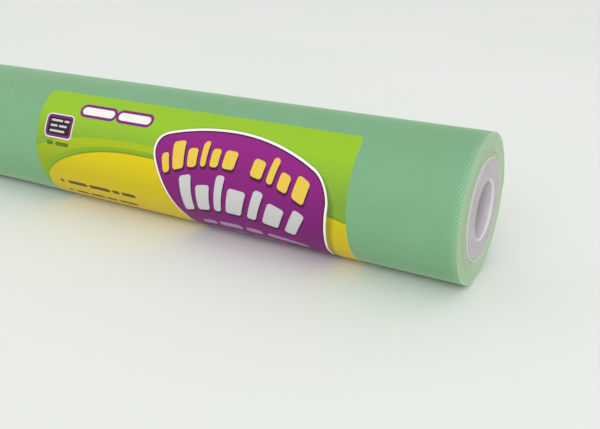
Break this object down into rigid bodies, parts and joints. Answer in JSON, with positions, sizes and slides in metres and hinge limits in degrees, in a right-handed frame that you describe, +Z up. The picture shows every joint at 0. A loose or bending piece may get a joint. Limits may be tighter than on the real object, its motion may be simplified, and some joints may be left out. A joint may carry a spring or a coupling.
{
  "type": "backdrop paper roll",
  "caption": "Wide roll of green non-woven backdrop sheet on a white tube core with bored end plugs, a wrap-round label and a loose outer end that lifts.",
  "frame": {"origin": "middle of the roll's axis, halfway between its two ends", "axes": "+X along the roll towards the labelled end; +Z up as the roll lies; -Y the side that shows the label, +Y the side with the sheet's loose end"},
  "size_m": [1.2208, 0.0597, 0.0593],
  "materials": {
    "core_board": "smooth white-faced tube board, matt",
    "plug_plastic": "moulded lilac-grey polypropylene, satin",
    "green_sheet": "non-woven polypropylene with a fine diagonal bonded lattice, matt",
    "label_film": "printed gloss sticker, lime green with plain colour panels",
    "core_tape_film": "thin double-sided tape",
    "clear_tape": "clear glossy tape"
  },
  "bodies": {
    "roll": {"core_tube": "core_board", "backdrop_sheet": "green_sheet", "product_label": "label_film", "core_tape": "core_tape_film"},
    "right_plug": {"end_plug_right": "plug_plastic"},
    "left_plug": {"end_plug_left": "plug_plastic"},
    "tail": {"sheet_tail": "green_sheet", "tail_tape": "clear_tape"}
  },
  "joints": [
    {"name": "right_plug_pull", "type": "slide", "parent": "roll", "child": "right_plug", "axis": [1, 0, 0], "range_m": [0, 0.045]},
    {"name": "left_plug_pull", "type": "slide", "parent": "roll", "child": "left_plug", "axis": [-1, 0, 0], "range_m": [0, 0.045]},
    {"name": "tail_lift", "type": "hinge", "parent": "roll", "child": "tail", "pos_m": [0, 0.01709, 0.02441], "axis": [1, 0, 0], "range_deg": [0, 75]}
  ]
}
